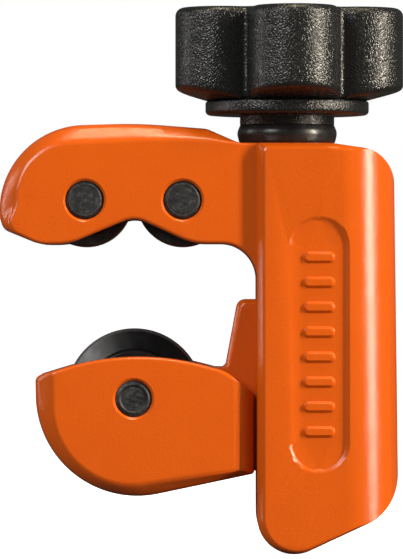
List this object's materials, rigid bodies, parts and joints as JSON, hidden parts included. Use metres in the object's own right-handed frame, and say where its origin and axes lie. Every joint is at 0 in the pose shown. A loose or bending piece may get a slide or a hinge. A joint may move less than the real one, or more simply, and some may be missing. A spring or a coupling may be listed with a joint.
{
  "type": "pipe cutter",
  "caption": "Small C-frame tube cutter: cutting wheel on a sliding jaw, driven by a knob and feed screw towards fixed rollers.",
  "frame": {"origin": "axis of a 12 mm tube seated on both rollers, in the plane of the cutting wheel", "axes": "+X from the throat into the handle, +Z along the feed screw towards the knob, Y along the tube"},
  "size_m": [0.0523, 0.0293, 0.0705],
  "materials": {
    "orange_paint": "semi-gloss orange-peel powder coat on die-cast zinc",
    "bronze": "sintered bronze",
    "rubber": "smooth black nitrile",
    "zinc_steel": "bright zinc plate",
    "black_steel": "black oxide with an oily sheen",
    "roller_steel": "black oxide, turned",
    "wheel_steel": "black oxide tool steel, ground edge",
    "spring_steel": "oiled spring steel",
    "knob_plastic": "black moulded plastic with a leather grain"
  },
  "bodies": {
    "frame_body": {"frame": "orange_paint", "screw_bush": "bronze", "friction_o_ring": "rubber", "clip_washer": "zinc_steel", "roller_pin_outer": "black_steel", "roller_pin_inner": "black_steel"},
    "slide": {"slide_jaw": "orange_paint", "cutter_pin": "black_steel", "cutter_pin_clip": "spring_steel"},
    "screw": {"feed_screw": "zinc_steel", "thrust_collar": "zinc_steel", "retaining_clip": "spring_steel", "knob": "knob_plastic", "knob_washer": "zinc_steel", "knob_lock_washer": "spring_steel", "knob_screw": "zinc_steel", "knob_cap": "knob_plastic"},
    "wheel": {"cutter_wheel": "wheel_steel"},
    "outer_roller": {"roller_outer": "roller_steel"},
    "inner_roller": {"roller_inner": "roller_steel"}
  },
  "joints": [
    {"name": "knob_turn", "type": "hinge", "parent": "frame_body", "child": "screw", "pos_m": [0.0199, 0, 0.02], "axis": [0, 0, -1], "range_deg": [-1512.5, 4212.5]},
    {"name": "jaw_slide", "type": "slide", "parent": "frame_body", "child": "slide", "axis": [0, 0, 1], "range_m": [-0.0042, 0.0117]},
    {"name": "wheel_spin", "type": "hinge", "parent": "slide", "child": "wheel", "pos_m": [0, 0, -0.01535], "axis": [0, 1, 0], "continuous": true},
    {"name": "roller_outer_spin", "type": "hinge", "parent": "frame_body", "child": "outer_roller", "pos_m": [-0.0063, 0, 0.01021], "axis": [0, 1, 0], "continuous": true},
    {"name": "roller_inner_spin", "type": "hinge", "parent": "frame_body", "child": "inner_roller", "pos_m": [0.0063, 0, 0.01021], "axis": [0, 1, 0], "continuous": true}
  ],
  "couplings": [
    {"joint": "knob_turn", "follows": "jaw_slide", "rad_per_m": 6283.2}
  ]
}
